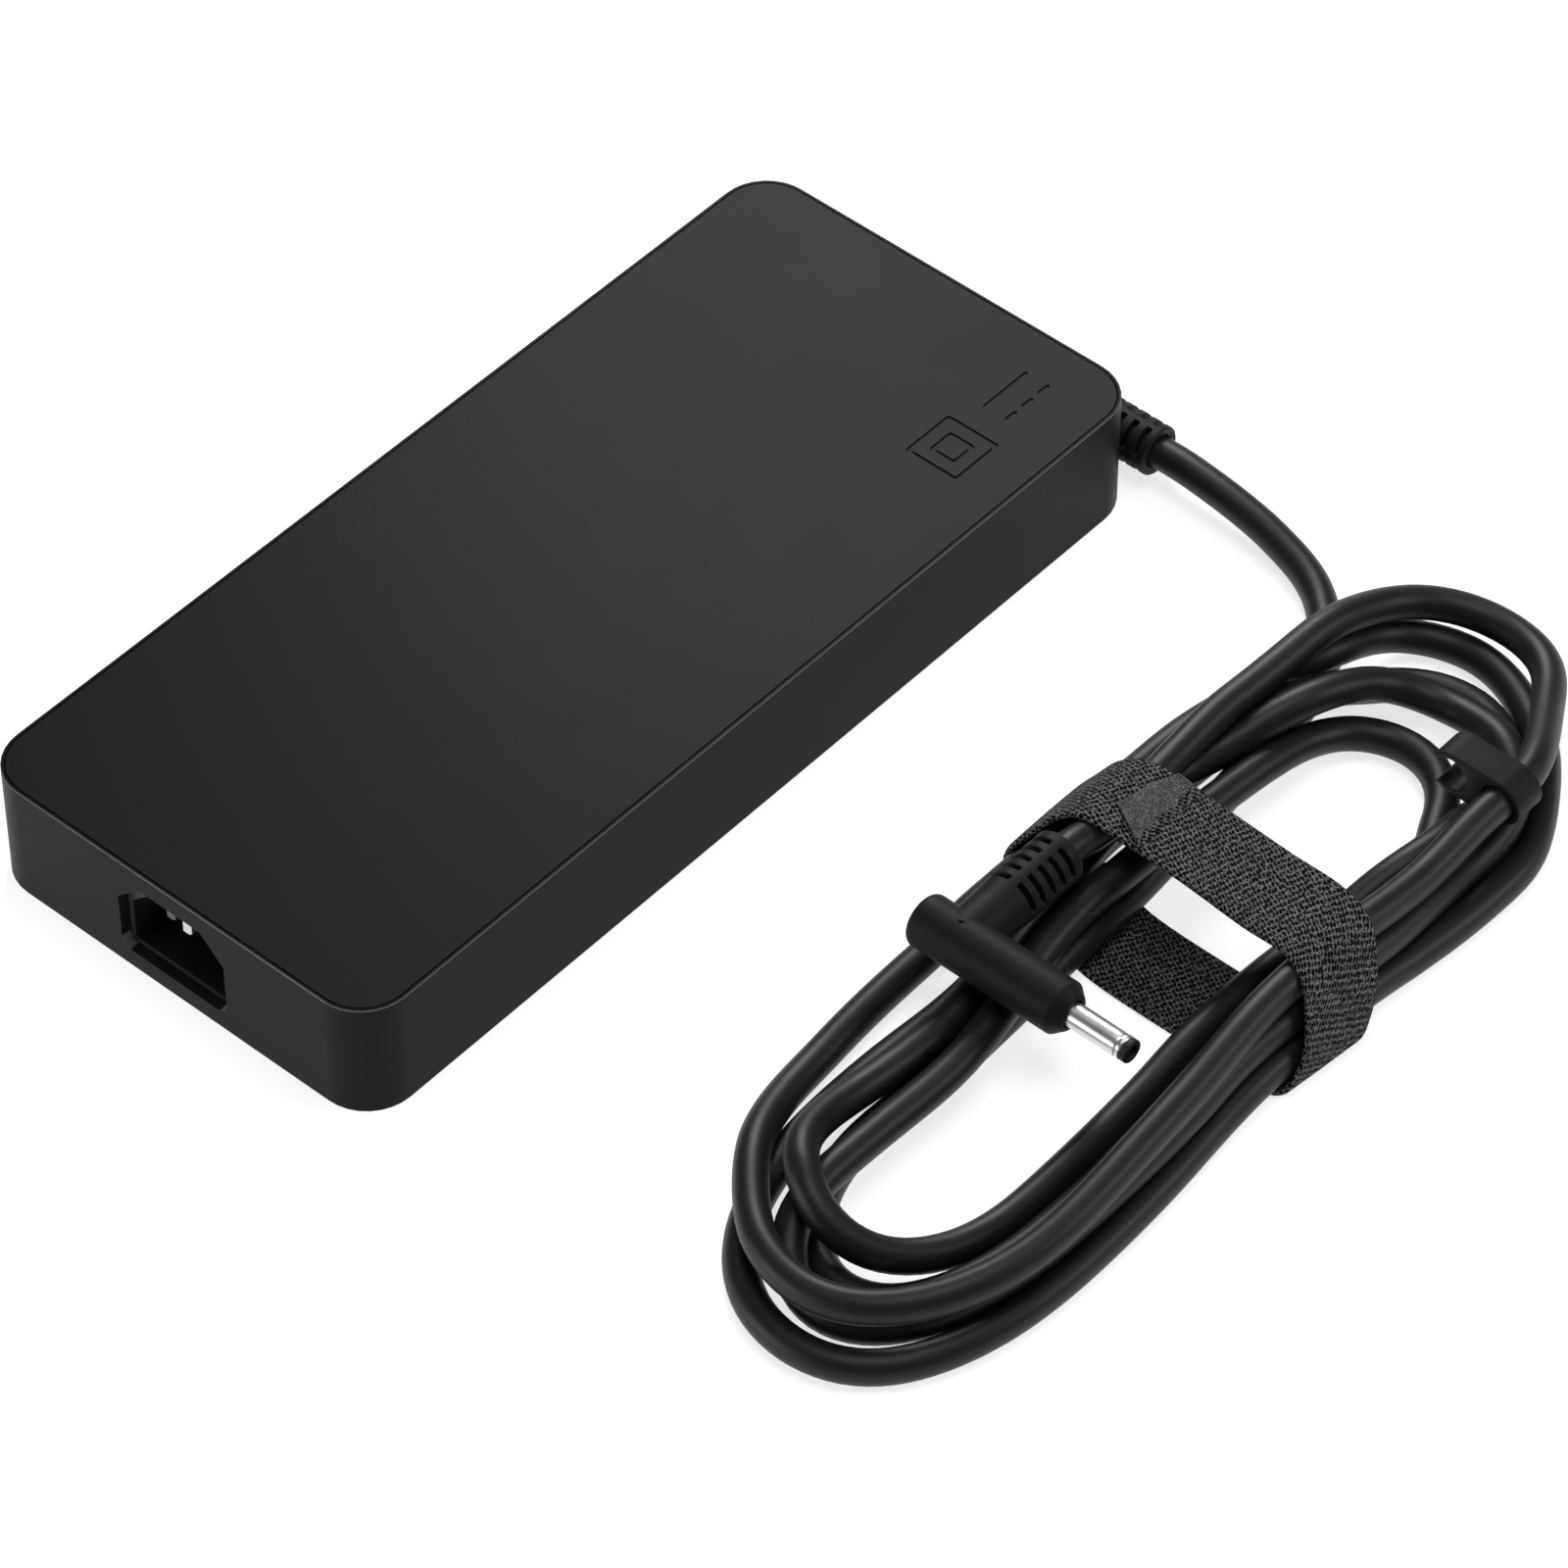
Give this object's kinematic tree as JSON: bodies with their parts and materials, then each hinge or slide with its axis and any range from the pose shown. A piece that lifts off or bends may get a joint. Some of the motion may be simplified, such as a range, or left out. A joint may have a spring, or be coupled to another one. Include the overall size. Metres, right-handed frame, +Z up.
{
  "type": "laptop power adapter",
  "caption": "Slim black mains power adapter with a recessed inlet, ribbed strain relief, strapped hank of cord, cable clip and right-angled barrel plug.",
  "frame": {"origin": "centre of the housing's underside", "axes": "+Y along the housing's long side, from the mains inlet to the cord's end; +Z up; +X towards the hank of cord"},
  "size_m": [0.2031, 0.2102, 0.025],
  "materials": {
    "housing": "fine-textured matt black",
    "label": "blank printed film",
    "socket": "satin black",
    "nickel": "bright plating",
    "cord": "satin black sheath",
    "moulding": "satin black moulding",
    "strap": "woven hook and loop",
    "board": "solder resist",
    "film": "amber insulating film",
    "ferrite": "sintered ferrite",
    "copper": "enamelled copper wire",
    "tape": "yellow tape over copper winding",
    "aluminium": "mill finish",
    "component": "moulded epoxy",
    "capacitor": "printed sleeve over an aluminium can",
    "box_capacitor": "moulded case",
    "disc": "dipped coating",
    "pad": "soft thermal pad",
    "glass": "clear tube",
    "red_wire": "insulated wire",
    "green_wire": "insulated wire",
    "steel": "plated steel"
  },
  "bodies": {
    "adapter": {"bottom_shell": "housing", "top_cover": "housing", "rating_label": "label", "inlet_body": "socket", "line_pin": "nickel", "neutral_pin": "nickel", "earth_pin": "nickel", "strain_relief": "moulding", "output_cord": "cord", "output_cord_end": "cord", "cord_hank": "cord", "plug_body": "moulding", "plug_barrel": "nickel", "plug_insulator": "socket", "plug_centre_pin": "nickel", "hook_and_loop_strap": "strap", "main_board": "board", "board_screw_1": "steel", "board_screw_2": "steel", "board_screw_3": "steel", "board_screw_4": "steel", "insulation_film": "film", "x_capacitor": "box_capacitor", "varistor": "disc", "inrush_thermistor": "component", "fuse": "glass", "input_choke_core": "ferrite", "input_choke_winding": "copper", "bridge_rectifier": "component", "y_capacitor_1": "disc", "y_capacitor_2": "disc", "boost_inductor_core": "ferrite", "boost_inductor_winding": "copper", "bulk_capacitor_1": "capacitor", "bulk_capacitor_2": "capacitor", "main_transformer_core": "ferrite", "main_transformer_winding": "tape", "output_choke_core": "ferrite", "output_choke_winding": "copper", "output_capacitor_1": "capacitor", "output_capacitor_2": "capacitor", "output_capacitor_3": "capacitor", "heat_spreader_left": "aluminium", "heat_spreader_right": "aluminium", "thermal_pad_left": "pad", "thermal_pad_right": "pad", "boost_transistor": "component", "boost_diode": "component", "bridge_transistor_1": "component", "bridge_transistor_2": "component", "control_board": "board", "line_lead": "red_wire", "neutral_lead": "socket", "earth_lead": "green_wire", "positive_lead": "red_wire", "negative_lead": "socket"},
    "clip": {"cable_clip": "moulding"},
    "tab": {"strap_tab": "strap"}
  },
  "joints": [
    {"name": "clip_swivel", "type": "hinge", "parent": "adapter", "child": "clip", "pos_m": [0.1476, 0.0728, 0.0151], "axis": [0, 1, 0], "range_deg": [0, 60]},
    {"name": "tab_peel", "type": "hinge", "parent": "adapter", "child": "tab", "pos_m": [0.1116, 0.0256, 0.0213], "axis": [0, 1, 0], "range_deg": [0, 100]}
  ]
}
